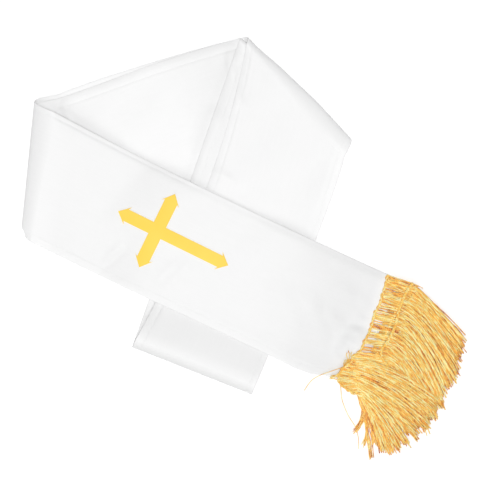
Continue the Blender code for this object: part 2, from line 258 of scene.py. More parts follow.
def lofted(loft, points):
    """The lift of a soft fold above plan points."""
    owner = next(s for s in STRETCHES if loft.row in s.rows)
    start = row_point(ROWS[loft.row], 0.0)
    line = row_point(ROWS[loft.row], 1.0) - start
    share = np.clip((points - start) @ line / (line @ line), 0.0, 1.0)
    away = np.maximum((points - start) @ inward(loft.row, owner), 0.0)
    reach = mix(loft.reach_0, loft.reach_1, share) * MM
    return mix(loft.height_0, loft.height_1, share) * MM * (1.0 - smooth(away / reach))


def undulation(points):
    """Slow rise and fall of the cloth, the same at each level."""
    x, y = points[..., 0] / MM, points[..., 1] / MM
    return WAVE_HEIGHT * sum(
        strength * (1.0 + np.sin(x / length_x + y / length_y + phase))
        for strength, length_x, length_y, phase in WAVES)


def height(level, points):
    """The height of the middle of the cloth at a level, above plan points. The
    lowest level lies flat."""
    z = np.full(points.shape[:-1], WALL / 2.0)
    for below in STRETCHES:
        if below.level < level:
            outside = distance_outside(OUTLINES[below.name], points)
            z += PITCH * (1.0 - smooth((outside - DRAPE_LEDGE) / DRAPE_REACH))
    for loft in LOFTS:
        if level >= loft.from_level:
            z += lofted(loft, points)
    for x0, y0, x1, y1, reach, rise, from_level in SWELLS:
        if level >= from_level:
            away = off_line(points, plan(x0, y0), plan(x1, y1))
            z += rise * MM * (1.0 - smooth(away / (reach * MM)))
    return z + undulation(points) * min(level, 1)


def creased(name, points):
    """The relief of a stretch's creases."""
    z = np.zeros(points.shape[:-1])
    for x0, y0, x1, y1, width, rise in CREASES.get(name, ()):
        start, end = plan(x0, y0), plan(x1, y1)
        line = end - start
        along = (points - start) @ line / (line @ line)
        fade = (smooth((along + CREASE_FADE) / (2.0 * CREASE_FADE))
                * smooth((1.0 - along + CREASE_FADE) / (2.0 * CREASE_FADE)))
        across = off_line(points, start, end) / (width * MM)
        z += rise * MM * fade * np.exp(-across ** 2)
    return z


def leaving(stretch, row_name, across):
    """Plan directions of the cloth's lines from a fold into a stretch, each at
    such a length that it goes one unit away from the fold. They lean the way
    that the stretch's first side starts to bow."""
    starts_here = stretch.rows[0] == row_name
    names = stretch.rows if starts_here else stretch.rows[::-1]
    line = row_point(ROWS[names[1]], across) - row_point(ROWS[row_name], across)
    if stretch.name in SIDE_BOWS:
        bow = SIDE_BOWS[stretch.name][0]
        (here, out_here), (there, out_there) = bow[:2] if starts_here else bow[:-3:-1]
        lean = (out_there - out_here) / abs(there - here) * MM * (1.0 - across) ** 2
        line = line + direction(ROWS[row_name].angle) * lean[..., None]
    return line / (line @ inward(row_name, stretch))[..., None]


def bend_ends(before, after, row_name, across):
    """How far a fold rolls in, and where it meets the stretches at each side."""
    row = ROWS[row_name]
    edge = row_point(row, across)
    roll = mix(row.roll_0, row.roll_1, smooth(np.asarray(across))) * MM
    here, there = (edge + leaving(side, row_name, across) * roll[..., None]
                   for side in (before, after))
    return roll, here, there


def bend(before, after, row_name, across):
    """Points round a fold, one row for each step, without its two ends."""
    roll, here, there = bend_ends(before, after, row_name, across)
    z_here, z_there = height(before.level, here), height(after.level, there)
    from_corner = (1.0 - across) * STOLE_WIDTH / CORNER_REACH
    depth = roll - ROWS[row_name].corner * MM * (1.0 - smooth(from_corner))
    if row_name in FOLD_BOWS:
        depth = depth + np.interp(across, *zip(*FOLD_BOWS[row_name])) * MM
    rows = []
    for step in range(1, BEND_STEPS):
        angle = math.pi * step / BEND_STEPS
        at = mix(here, there, step / BEND_STEPS)
        at = at - inward(row_name, before) * (depth * math.sin(angle))[..., None]
        z = mix(z_here, z_there, 0.5 - 0.5 * math.cos(angle))
        rows.append(raised(at, z))
    return rows


# ------------ satin panels

# Each panel has lines along it: some near its edge, some about the inner edge of
# its turned hem, whose step shows as a fine line, and the rest between the hems.
HEM_LINES = (0.0, 0.2, 0.7, 2.2)  # from the edge of the strip
STEP_LINES = (-0.9, -0.3, 0.3, 0.9)  # about the inner edge of the hem
LINE_MARGIN = 2.0  # from the last of them to the lines between
MIDDLE_LINES = 36
HEM_THICKNESS = 1.15 * MM
EDGE_WEIGHTS = (0.34, 0.60, 0.70, 0.80, 0.81, 0.57, 0.57, 0.74)  # shares of it
MIDDLE_WEIGHT = 0.74
ROLLED_HEM = (0.19, 0.24)  # along the front, where its first hem stops being rolled under

CONTACT = 0.74 * MM  # between the middles of two levels that touch
# The most that the first and the second hem of each level hang, towards the next.
SLACKS = ((0, 0), (0.9, 0.9), (4, 0), (3, 0), (0.9, 0.9), (0.9, 0.9))
HANG_REACH = 7.0 * MM  # how far from its hem a level starts to hang
HANG_EASE = 3.0  # and how much further, for each unit that it hangs
FOLD_REACH = 6.0 * MM  # how far from a fold the hems are held up
NECK_REACH = 80.0 * MM  # and how far from the neck's, which is soft


def lines_across(row_name):
    """Where the lines along the strip cross a row, as shares of its width."""
    width = STOLE_WIDTH / MM
    row = ROWS[row_name]
    left, right = ([*HEM_LINES, *(hem + step for step in STEP_LINES)]
                   for hem in (row.hem_0, row.hem_1))
    middle = np.linspace(left[-1] + LINE_MARGIN, width - right[-1] - LINE_MARGIN, MIDDLE_LINES)
    return np.array([*left, *middle, *(width - place for place in reversed(right))]) / width


def hanging(level, points):
    """How far the cloth hangs at plan points across it, towards the level below."""
    below = next((stretch for stretch in STRETCHES if stretch.level == level - 1), None)
    if below is None:
        return 0.0
    gap = height(level, points) - height(below.level, points) - creased(below.name, points)
    hang = 0.0
    for edge, most in zip((0, -1), SLACKS[level]):
        slack = np.clip(gap - CONTACT, 0.0, most * MM)
        side = np.linalg.norm(points - points[edge], axis=-1)
        hang = hang + slack * (1.0 - smooth(side / (HANG_REACH + HANG_EASE * slack)))
    return hang


def bowed(name, points, along):
    """Plan points across a stretch, moved out where its sides bow."""
    width = np.linalg.norm(points[0] - points[-1])
    moved = points
    for bow, edge, other in zip(SIDE_BOWS.get(name, ()), (0, -1), (-1, 0)):
        out = (points[edge] - points[other]) / width
        share = np.linalg.norm(points - points[other], axis=-1) / width
        moved = moved + out * (share ** 2 * np.interp(along, *zip(*bow)) * MM)[:, None]
    return moved


def stretch_rows(name, ends):
    """The flat part of a stretch. ends are its plan points at each row."""
    stretch = BY_NAME[name]
    cells = round(np.linalg.norm(ends[-1] - ends[0], axis=-1).mean() / CELL)
    rows = []
    for step in range(cells + 1):
        t = step / cells
        if len(ends) == 2:
            at = mix(ends[0], ends[1], t)
        else:
            at = (ends[0] * (1.0 - t) * (1.0 - 2.0 * t) + ends[1] * 4.0 * t * (1.0 - t)
                  + ends[2] * t * (2.0 * t - 1.0))
        at = bowed(name, at, t)
        hang = hanging(stretch.level, at)
        for row_name, end in ((stretch.rows[0], ends[0]), (stretch.rows[-1], ends[-1])):
            if row_name.endswith("fold"):
                reach = NECK_REACH if row_name == "neck_fold" else FOLD_REACH
                hang = hang * smooth(np.linalg.norm(at - end, axis=-1) / reach)
        z = height(stretch.level, at) + creased(name, at) - hang
        rows.append(raised(at, z))
    return rows


def panel_points(names, closing):
    """A panel through some stretches in turn, with the folds between them.
    closing is the stretch beyond its last fold, or None at a plain end."""
    rows = []
    stretches = [BY_NAME[name] for name in names]
    for index, stretch in enumerate(stretches):
        ends = []
        for row_name in stretch.rows:
            across = lines_across(row_name)
            beside = [s for s in STRETCHES if row_name in s.rows and s != stretch]
            ends.append(bend_ends(stretch, beside[0], row_name, across)[1] if beside
                        else row_point(ROWS[row_name], across))
        rows += stretch_rows(stretch.name, ends)
        following = stretches[index + 1] if index + 1 < len(stretches) else closing
        if following:
            row_name = stretch.rows[-1]
            rows += bend(stretch, following, row_name, lines_across(row_name))
    if closing:
        row_name = stretches[-1].rows[-1]
        across = lines_across(row_name)
        there = bend_ends(stretches[-1], closing, row_name, across)[2]
        rows.append(raised(there, height(closing.level, there)))
    return np.array(rows)


def added(name, data):
    """A new object in the scene."""
    obj = bpy.data.objects.new(name, data)
    bpy.context.scene.collection.objects.link(obj)
    return obj


def smooth_object(name, mesh, material):
    """A smooth object with one material."""
    mesh.materials.append(material)
    mesh.shade_smooth()
    return added(name, mesh)


def thicken(obj, thickness):
    """Give a sheet a thickness, half of it to each side."""
    shell = obj.modifiers.new("wall", "SOLIDIFY")
    shell.thickness = thickness
    shell.offset = 0.0
    shell.use_quality_normals = True
    return shell


def strip_map(mesh, places):
    """A UV map in metres, from each vertex's place on the flat cloth."""
    corner = np.empty(len(mesh.loops), int)
    mesh.loops.foreach_get("vertex_index", corner)
    mesh.uv_layers.new(name="strip").data.foreach_set("uv", places[corner].ravel())


def grid_object(name, points, material, weights):
    """A sheet through rows of points. Its weights are shares of HEM_THICKNESS."""
    along, across = points.shape[:2]
    index = np.arange(along * across).reshape(along, across)
    quads = np.stack((index[:-1, :-1], index[:-1, 1:], index[1:, 1:], index[1:, :-1]), axis=-1)
    mesh = bpy.data.meshes.new(name)
    mesh.from_pydata(points.reshape(-1, 3).tolist(), [], quads.reshape(-1, 4).tolist())
    places = np.meshgrid(distances(points.swapaxes(0, 1)), distances(points))
    strip_map(mesh, np.stack(places, axis=-1).reshape(-1, 2))
    obj = smooth_object(name, mesh, material)
    group = obj.vertex_groups.new(name="thickness")
    for vertex, weight in enumerate(weights.ravel().tolist()):
        group.add([vertex], weight, "REPLACE")
    shell = thicken(obj, HEM_THICKNESS)
    shell.vertex_group = "thickness"
    shell.thickness_vertex_group = 0.0
    return obj


def satin_panel(name, names, closing, material):
    """One of the two panels, which stands for the named stretches."""
    points = panel_points(names, closing)
    line_weights = [*EDGE_WEIGHTS, *[MIDDLE_WEIGHT] * MIDDLE_LINES, *reversed(EDGE_WEIGHTS)]
    weights = np.tile(line_weights, (len(points), 1))
    if names[0] == "front_stretch":
        start, end = ROLLED_HEM
        shown = smooth((np.arange(len(points)) * CELL - start) / (end - start))
        hem = slice(len(HEM_LINES) - 1, len(EDGE_WEIGHTS))
        weights[:, hem] = mix(MIDDLE_WEIGHT, weights[:, hem], shown[:, None])
    panel = grid_object(name, points, material, weights)
    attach(panel, "root")
    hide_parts(*names)
    return panel


# ------------ materials

WHITE = (1.0, 1.0, 1.0, 1.0)


class Nodes:
    """A material's nodes, made and joined in short calls."""

    def __init__(self, name):
        self.material = bpy.data.materials.new(name)
        self.material.use_nodes = True
        self.tree = self.material.node_tree
        self.shader = self.tree.nodes["Principled BSDF"]

    def add(self, kind, inputs=(), **settings):
        """A new node, with its inputs and its own settings."""
        node = self.tree.nodes.new("ShaderNode" + kind)
        for key, value in settings.items():
            setattr(node, key, value)
        for key, value in dict(inputs).items():
            self.put(node, key, value)
        return node

    def put(self, node, key, value):
        """Set an input, or join it to another node's output."""
        if isinstance(value, bpy.types.NodeSocket):
            self.tree.links.new(value, node.inputs[key])
        else:
            node.inputs[key].default_value = value

    def surface(self, inputs):
        """Set the shader's inputs, and hand over the material."""
        for key, value in inputs.items():
            self.put(self.shader, key, value)
        return self.material

    def calculate(self, operation, *values):
        """One calculation on numbers or on outputs."""
        return self.add("Math", enumerate(values), operation=operation).outputs["Value"]

    def noise(self, vector, scale, detail):
        """Noise with a scale for each axis."""
        at = self.add("Mapping", {"Vector": vector, "Scale": scale}).outputs["Vector"]
        return self.add("TexNoise", {"Vector": at, "Scale": 1.0, "Detail": detail}).outputs["Fac"]

    def bands(self, vector, axis, scale, distortion):
        """Threads side by side along an axis."""
        return self.add("TexWave", {"Vector": vector, "Scale": scale, "Distortion": distortion},
                        wave_type="BANDS", bands_direction=axis).outputs["Fac"]

    def ramp(self, factor, *stops):
        """A colour for each stop, and those between."""
        node = self.add("ValToRGB", {"Fac": factor})
        elements = node.color_ramp.elements
        while len(elements) < len(stops):
            elements.new(0.5)
        for element, (place, colour) in zip(elements, stops):
            element.position = place
            element.color = (*colour, 1.0)
        return node.outputs["Color"]


# Painted shade and a painted highlight on the satin: how light it is at places in metres from the
# start of a panel. It is darker near the fringe's header and over the piece by the neck fold, and
# lighter between 0.42 and 0.62 m. At the neck fold there is a painted highlight and then painted
# shade where the cloth rolls under.
TONES = (
    (0.014, 0.965), (0.022, 0.908), (0.14, 0.978), (0.36, 0.98), (0.42, 1.035),
    (0.62, 1.035), (0.68, 1.0), (0.84, 1.0), (0.935, 0.92), (0.995, 0.918),
    (1.005, 0.98), (1.009, 0.98), (1.013, 0.86),
)
TONE_REACH = 1.03  # metres that the ramp stands for


def satin_material():
    """Smooth satin, with fine streaks along the strip, and painted shade and a painted highlight
    along it.
    """
    n = Nodes("white_satin")
    uv = n.add("UVMap", uv_map="strip").outputs["UV"]
    streaks = n.noise(uv, (2600.0, 190.0, 1.0), 2.0)
    slubs = n.noise(uv, (420.0, 36.0, 1.0), 3.0)
    weave = n.calculate("MULTIPLY", n.bands(uv, "X", 560.0, 0.6), n.bands(uv, "Y", 330.0, 0.8))
    relief = n.calculate("ADD", weave, streaks)
    fine = n.add("Bump", {"Height": relief, "Strength": 0.10, "Distance": 0.00004})
    bump = n.add("Bump", {"Height": slubs, "Strength": 0.03, "Distance": 0.0003,
                          "Normal": fine.outputs["Normal"]})
    tint = n.ramp(slubs, (0.3, (0.851, 0.851, 0.851)), (0.7, (0.860, 0.860, 0.860)))
    far = n.add("SeparateXYZ", {"Vector": uv}).outputs["Y"]
    share = n.calculate("DIVIDE", far, TONE_REACH)
    # painted shade and a painted highlight along the strip, from TONES, which multiply the
    # satin's colour
    painted_shade_and_highlight = n.ramp(share, *((place / TONE_REACH, (tone,) * 3) for place, tone in TONES))
    colour = n.add("Mix", {"Factor": 1.0, 6: tint, 7: painted_shade_and_highlight}, data_type="RGBA",
                   blend_type="MULTIPLY")
    rough = n.add("MapRange", {"Value": streaks, "To Min": 0.40, "To Max": 0.52})
    return n.surface({
        "Normal": bump.outputs["Normal"], "Base Color": colour.outputs[2],
        "Roughness": rough.outputs["Result"], "Specular IOR Level": 0.35,
        "Sheen Weight": 0.10, "Sheen Roughness": 0.35, "Subsurface Weight": 0.4,
        "Subsurface Radius": (1.0, 1.0, 1.0), "Subsurface Scale": 1.0 * MM})


def floor_material():
    """A white floor, which glows a little to hold its white."""
    return Nodes("studio_floor").surface({
        "Base Color": (0.80, 0.80, 0.80, 1.0), "Emission Color": WHITE,
        "Emission Strength": 0.25, "Roughness": 0.9, "Specular IOR Level": 0.1})


# ------------ fringes

HEADER_LIFT = 0.75 * MM  # of the header's bars above the middle of the cloth
HEADER_BUNCH = plan(105.0, -121.0)  # where the front header is gathered up
BUNCH_REACH = 22.0 * MM
BUNCH_HEIGHT = 2.4 * MM
TWIST_PITCH = 4.4 * MM  # of a thread's two plies, in its relief

# A header's two edges, and how many bars cross it. They start over a share of
# its near edge, and are thin at its windows, which are shares of its length.
Header = namedtuple("Header", "name node level near far bars netted windows lift plaits")
HEADERS = (
    Header("front_header", "front_fringe", TOP_LEVEL,
        ((147.5, -25.5), (144.2, -37.9), (138.1, -57.5), (133.3, -66.6), (129, -82.6),
         (122.9, -95), (119.3, -103.3), (111.7, -110.3), (108, -117.8), (100.6, -122.3),
         (97, -128), (88, -132.4)),
        ((173, -34.1), (165.4, -45.5), (159.3, -60.6), (154.7, -78.8), (147.2, -94),
         (140.5, -104.3), (142, -113.6), (146.7, -119.8), (143.1, -128.7)),
        104, 0.86, (0.335, 0.47, 0.55, 0.625, 0.705, 0.77), 0, 2),
    Header("under_header", "under_fringe", 4,
        ((136.6, -33), (131.8, -50), (121, -80.4), (110.5, -108.2), (101.8, -133.2)),
        ((166.1, -37), (156.5, -61.4), (144.2, -89.2), (132.6, -117.2), (121.8, -141.2)),
        110, 1, (), -0.35 * MM, 2),
    Header("corner_header", "front_fringe", TOP_LEVEL,
        ((107, -117), (101, -122), (97.5, -127.5), (96.5, -132.5), (98.6, -138.8),
         (105.2, -144), (113, -148.5)),
        ((144, -124), (142, -129.5), (138, -134), (133.5, -139),
         (129, -143.5), (123.6, -148.3), (118.4, -151.2)),
        40, 1, (), 0.5 * MM, 1),
)
WINDOW_HALF = 0.0125  # of a window, as a share of the header's length
WINDOW_SLACK = 0.22  # how much of a bar's radius is left in one

# A bar goes from 0 at its header's near edge to 1 at its far edge, and past both.
BAR_RADIUS = 0.58 * MM
BAR_STEPS = 14
BAR_START = -0.04
BAR_END = 1.25
BAR_LONGER = 0.35  # in the second half of the header
BAR_DRIFT = 8.0 * MM  # down the photo, one length past the far edge
BAR_DROOP = 3.0 * MM  # and towards the floor
BAR_TAPER = 0.45  # how much thinner it gets past the far edge
BAR_FLOOR = 1.1 * BAR_RADIUS  # the least height of its middle
# Its ends slip by shares of the edges, and it waves by up to half a millimetre.
BAR_SLIPS = (0.002, 0.003)
BAR_WAVE = 0.5
BAR_WAVINESS = (4.0, 9.0)
BAR_WIDTHS = (0.8, 1.15)
BAR_TONES = (0.3, 1.0)

# The plaits along the near and the far edge of a header, in millimetres, and the
# share of the thread's radius and the tone that they have.
Plait = namedtuple("Plait", "swing pitch rise share tone")
PLAITS = (Plait(0.7, 6.4, 0.4, 1.0, 0.7), Plait(0.95, 5.6, 1.2, 1.2, 0.75))
BRAID_RADIUS = 0.52 * MM
CROSSING_LIFT = 0.35 * MM  # of a plait's threads where they cross
PICOT_DEPTH = 1.9 * MM
PICOT_PITCH = 6.4 * MM
PICOT_RADIUS = 0.44 * MM
PICOT_TONE = 0.6
PICOT_LIFT = 0.1 * MM

# At places from a sheaf's start at 0 to its end at 1: where its strands start,
# the angle at which they leave, and where they end.
MAIN_SPREAD = (
    (0.00, 172.6, -34.6, -37, 230, -96),
    (0.10, 168, -41, -30, 229, -107),
    (0.22, 163, -51, -20, 226, -121),
    (0.38, 158.8, -63, -12, 217, -139),
    (0.54, 154.7, -78.8, -8, 209, -158),
    (0.68, 147.2, -94, -4, 204, -168),
    (0.80, 140.5, -104.3, 0, 198, -178),
    (0.90, 142, -113.6, -10, 192, -186),
    (1.00, 146, -124, -25, 184, -192),
)
CORNER_SPREAD = (
    (0.00, 106, -113, 8, 206, -158),
    (0.18, 102, -119.5, 2, 202, -171),
    (0.36, 99, -126, -6, 193, -184),
    (0.54, 98.5, -131.5, -14, 181, -194),
    (0.70, 101, -136, -22, 167, -207),
    (0.85, 106.5, -140.5, -34, 152, -214),
    (1.00, 113, -144.5, -48, 140, -213),
)
UNDER_SPREAD = (
    (0.00, 166.1, -38, -36, 225, -101),
    (0.20, 157.5, -59, -36, 216, -130),
    (0.40, 149, -79, -40, 201, -160),
    (0.60, 140, -99, -50, 180, -188),
    (0.80, 131, -120, -62, 150, -206),
    (1.00, 122.5, -140, -74, 130, -203),
)

# A sheaf: its layers, the strands in the lowest and the share of them in the top
# one, its clumps, how far along the strands their knee is, their heights at the
# root, knee and tip with each layer's step, and how much their lengths differ.
Sheaf = namedtuple("Sheaf", "name node spread layers count top_share clumps knee root belly"
                            " belly_step tip tip_step ragged")
SHEAVES = (
    Sheaf("front_strands", "front_fringe", MAIN_SPREAD, 5, 96, 0.48, 40, 0.24, -1.9, 2.5,
          0.8, 1.4, 0.6, 0.12),
    Sheaf("corner_strands", "front_fringe", CORNER_SPREAD, 5, 76, 0.48, 32, 0.36, -1.8, 4.2,
          0.8, 2.6, 0.7, 0.13),
    Sheaf("under_strands", "under_fringe", UNDER_SPREAD, 2, 110, 1, 36, 0.30, -0.5, 0.9,
          0.8, 0.8, 0.6, 0.14),
)
CLUMPING = 0.45  # how far the tips are drawn to the middle of their clump
ROOT_TUCK = 0.8 * MM  # how far a strand starts inside the header's edge
ANGLE_SCATTER = 2.5
TIP_SCATTER = 1.5
CLUMP_RAGGED = 0.55  # of how much lengths differ, what a clump shares
OWN_RAGGED = 0.45  # and what is a strand's own
STRAND_WIDTHS = (0.85, 1.15)
# A strand's tone is partly chance and partly its layer. The layer part is painted shade: darker
# in the lower layers, under the top ones, and lighter in the top one.
TONE_CHANCE = 0.45  # the rest of a strand's tone comes from its layer

# Single locks at the fringe's lower left, which part from the others: their root,
# knee and tip, how many strands they have, and how far those scatter.
LOCK_ROOT_HEIGHT = 3.0 * MM
LOCK_KNEE_HEIGHTS = (1.2, 2.6)
LOCK_TIP_HEIGHTS = (0.6, 1.6)
LOCK_ROOT_SCATTER = 0.8
LOCK_LENGTHS = (0.88, 1.0)
LOCK_WIDTHS = (0.6, 0.85)
LOCKS = (
    (116, -146, 125.5, -175, 130.2, -220, 13, 0.9),
    (115, -145.5, 131.5, -171, 110.5, -189.5, 17, 1.7),
    (116.6, -146, 132, -178, 122, -203, 12, 0.9),
    (117, -146, 129, -180, 136, -203, 10, 0.9),
)

STRAND_SIDES = 6
STRAND_STEPS = 26
STRAND_RADIUS = 0.70 * MM
STRAND_FLATNESS = 0.62  # of its two plies, side by side
SLOW_SWAY = (3.0, 9.0)  # radians along a strand
QUICK_SWAY = (14.0, 26.0)
ROOT_THINNESS = 0.72
TIP_THINNESS = 0.9
TURN_PITCH = 11.0 * MM  # in which the two plies turn once,
PITCH_SHARE = 0.7  # at this share of it where the tone is 0,
MORE_PITCH = 0.6  # and this much more where it is 1
PHASE = 0.37  # metres that a thread's tone moves its twist on
CURVE_STEPS = 24  # between two points of a smooth curve
EDGE_STEPS = 460  # along an edge of a header


def along_curve(points, shares):
    """Places on a smooth curve through plan points, at shares of its length."""
    ends = np.vstack((2 * points[0] - points[1], points, 2 * points[-1] - points[-2]))
    t = np.linspace(0.0, 1.0, CURVE_STEPS, endpoint=False)[:, None]
    fine = [0.5 * (2 * b + (c - a) * t + (2 * a - 5 * b + 4 * c - d) * t ** 2
                   + (3 * b - a - 3 * c + d) * t ** 3)
            for a, b, c, d in zip(ends, ends[1:], ends[2:], ends[3:])]
    fine = np.vstack(fine + [points[-1:]])
    far = distances(fine)
    at = np.asarray(shares) * far[-1]
    return np.stack([np.interp(at, far, fine[:, axis]) for axis in (0, 1)], axis=-1)


def header_height(header, at):
    """The height of a header's threads above plan points."""
    z = height(header.level, at) + HEADER_LIFT + header.lift
    if header.level == TOP_LEVEL:
        away = np.linalg.norm(at - HEADER_BUNCH, axis=-1)
        z = z + BUNCH_HEIGHT * (1.0 - smooth(away / BUNCH_REACH))
    return z


def tubes(name, threads, material, flatness=1.0):
    """Closed tubes, joined in one mesh. Each thread is a line of points, a radius
    for each and one tone. The UV map is in turns and metres, and a flat tube
    turns about its own line."""
    sides = STRAND_SIDES
    angles = 2.0 * math.pi * np.arange(sides) / sides
    points, faces, uvs, shades = [], [], [], []
    start = 0
    for line, radius, tone in threads:
        count = len(line)
        tangent = unit(np.gradient(line, axis=0))
        side = unit(np.cross(tangent, (0.0, 0.0, 1.0)))
        up = np.cross(side, tangent)
        far = distances(line) + tone * PHASE
        turn = 2.0 * math.pi * far[:, None] / (TURN_PITCH * (PITCH_SHARE + MORE_PITCH * tone))
        wide, thin = np.cos(angles - turn), flatness * np.sin(angles - turn)
        ring = (side[:, None] * (wide * np.cos(turn) - thin * np.sin(turn))[..., None]
                + up[:, None] * (wide * np.sin(turn) + thin * np.cos(turn))[..., None])
        ring = ring * np.broadcast_to(radius, count)[:, None, None]
        points.append((line[:, None] + ring).reshape(-1, 3))
        for step in range(count - 1):
            for k in range(sides):
                near = start + step * sides
                following = near + (k + 1) % sides
                faces.append((near + k, near + sides + k, following + sides, following))
                uvs += [(k / sides, far[step]), (k / sides, far[step + 1]),
                        ((k + 1) / sides, far[step + 1]), ((k + 1) / sides, far[step])]
        for step, order in ((0, range(sides)), (count - 1, range(sides - 1, -1, -1))):
            faces.append(tuple(start + step * sides + k for k in order))
            uvs += [(k / sides, far[step]) for k in order]
        shades += [tone] * (count * sides)
        start += count * sides
    mesh = bpy.data.meshes.new(name)
    mesh.from_pydata(np.concatenate(points).tolist(), [], faces)
    mesh.uv_layers.new(name="thread").data.foreach_set("uv", np.array(uvs).ravel())
    mesh.attributes.new("tone", "FLOAT", "POINT").data.foreach_set("value", shades)
    return smooth_object(name, mesh, material)


def edge_frame(edge):
    """Points on an edge, their distance along it, and its plan normals."""
    curve = along_curve(plan(*edge), np.linspace(0.0, 1.0, EDGE_STEPS))
    tangent = unit(np.gradient(curve, axis=0))
    return curve, distances(curve), np.stack((-tangent[:, 1], tangent[:, 0]), axis=1)


def braid_lines(header, edge, plait):
    """Three threads that are plaited along an edge of a header."""
    curve, far, normal = edge_frame(edge)
    lines = []
    for strand in range(3):
        turn = 2.0 * math.pi * (far / (plait.pitch * MM) + strand / 3.0)
        at = curve + normal * (plait.swing * MM * np.sin(turn))[:, None]
        z = header_height(header, curve) + plait.rise * MM
        lines.append(raised(at, z + CROSSING_LIFT * (1.0 + np.sin(2.0 * turn))))
    return lines


def picot_line(header, edge):
    """The small loops on the outer side of an edge."""
    curve, far, normal = edge_frame(edge)
    uneven = 0.75 + 0.25 * np.sin(2.3 * far / PICOT_PITCH)
    loop = PICOT_DEPTH * uneven * abs(np.sin(math.pi * far / PICOT_PITCH))
    return raised(curve - normal * loop[:, None], header_height(header, curve) + PICOT_LIFT)


def header_piece(header, material, rng):
    """A header: bars across it, plaits along its edges, and small loops."""
    near, far = plan(*header.near), plan(*header.far)
    threads = []
    for index in range(header.bars):
        share = (index + 0.5) / header.bars
        in_window = any(abs(share - window) < WINDOW_HALF for window in header.windows)
        slips = [rng.uniform(-slip, slip) for slip in BAR_SLIPS]
        a = along_curve(near, [share * header.netted + slips[0]])[0]
        b = along_curve(far, [share + slips[1]])[0]
        end = BAR_END + BAR_LONGER * smooth((share - 0.4) / 0.3) + rng.uniform(0.0, 0.2)
        t = np.linspace(BAR_START, end, BAR_STEPS)[:, None]
        wave = rng.uniform(-BAR_WAVE, BAR_WAVE) * MM
        at = a + (b - a) * t + wave * np.sin(t * rng.uniform(*BAR_WAVINESS))
        past = np.maximum(t - 1.0, 0.0)
        at = at - np.array((0.0, BAR_DRIFT)) * past ** 2
        past = past[:, 0]
        z = header_height(header, at) + rng.uniform(-0.2, 0.25) * MM - BAR_DROOP * past ** 2
        radius = BAR_RADIUS * (WINDOW_SLACK if in_window else 1.0) * rng.uniform(*BAR_WIDTHS)
        threads.append((raised(at, np.maximum(z, BAR_FLOOR)),
                        radius * (1.0 - BAR_TAPER * smooth(past / 0.4)),
                        rng.uniform(*BAR_TONES)))
    for plait, edge in zip(PLAITS[:header.plaits], (header.near, header.far)):
        for line in braid_lines(header, edge, plait):
            tone = plait.tone + rng.uniform(-0.2, 0.2)
            threads.append((line, plait.share * BRAID_RADIUS, tone))
    threads.append((picot_line(header, header.near), PICOT_RADIUS, PICOT_TONE))
    return tubes(header.name, threads, material)


def spread_at(spread, place):
    """A spread's values at a place between its rows."""
    table = np.array(spread)
    return [np.interp(place, table[:, 0], table[:, axis]) for axis in range(1, 6)]


def strand_line(root, knee, end, heights, full, rng):
    """A strand from its root, drawn towards its knee, to a share of the way to its
    end. It sways in slow and in quick waves."""
    t = np.linspace(0.0, full, STRAND_STEPS)[:, None]
    shares = (1.0 - t) ** 2, t * (1.0 - t) * 2.0, t ** 2
    across = unit((end - root)[::-1] * (-1.0, 1.0))
    sway = rng.uniform(-1.0, 1.0) * np.sin(t * rng.uniform(*SLOW_SWAY))
    sway = sway + rng.uniform(-0.5, 0.5) * np.sin(t * rng.uniform(*QUICK_SWAY))
    at, z = (sum(value * share for value, share in zip(values, shares))
             for values in ((root, knee, end), heights))
    return raised(at + across * (sway * MM * smooth(t * 3.0)), z[:, 0])


def strand_radii(thickness):
    """Thin at the root, full where the twist opens, and cut at the tip."""
    t = np.linspace(0.0, 1.0, STRAND_STEPS)
    return (thickness * mix(ROOT_THINNESS, 1.0, smooth(t * 5.0))
            * mix(1.0, TIP_THINNESS, smooth(t * 8.0 - 7.0)))


def scatter(rng, size):
    """A chance step in plan, of a size in millimetres."""
    return np.array((rng.gauss(0.0, size), rng.gauss(0.0, size))) * MM


def sheaf_piece(sheaf, material, rng):
    """A sheaf of strands in layers, whose tips are drawn together in clumps."""
    header = next(h for h in HEADERS if h.node == sheaf.node)
    threads = []
    shifts = [(rng.uniform(-0.25, 0.25), rng.random()) for _ in range(sheaf.clumps + 1)]
    for layer in range(sheaf.layers):
        height_share = layer / (sheaf.layers - 1)
        count = round(sheaf.count * mix(1.0, sheaf.top_share, height_share))
        for index in range(count):
            place = (index + rng.uniform(0.1, 0.9)) / count
            clump = min(int(place * sheaf.clumps + rng.uniform(-0.4, 0.4)), sheaf.clumps)
            drawn = mix(place, (clump + 0.5 + shifts[clump][0]) / sheaf.clumps, CLUMPING)
            x, y, angle, _, _ = spread_at(sheaf.spread, place)
            tip_x, tip_y = spread_at(sheaf.spread, drawn)[3:]
            angle += rng.gauss(0.0, ANGLE_SCATTER)
            root, end = plan(x, y), plan(tip_x, tip_y) + scatter(rng, TIP_SCATTER)
            knee = root + direction(angle) * sheaf.knee * np.linalg.norm(end - root)
            root = root - direction(angle) * ROOT_TUCK
            z_root = float(header_height(header, root))
            heights = (z_root + (layer / sheaf.layers + sheaf.root) * MM,
                       (sheaf.belly + layer * sheaf.belly_step + rng.uniform(-0.2, 0.2)) * MM,
                       (sheaf.tip + layer * sheaf.tip_step + rng.uniform(0.0, 0.3)) * MM)
            shorter = CLUMP_RAGGED * shifts[clump][1] + OWN_RAGGED * rng.random() ** 2
            full = 1.0 - sheaf.ragged * shorter
            threads.append((strand_line(root, knee, end, heights, full, rng),
                            strand_radii(STRAND_RADIUS * rng.uniform(*STRAND_WIDTHS)),
                            # the tone mixes chance with painted shade from the layer, darker
                            # lower down
                            mix(height_share, rng.random(), TONE_CHANCE)))
    return tubes(sheaf.name, threads, material, STRAND_FLATNESS)


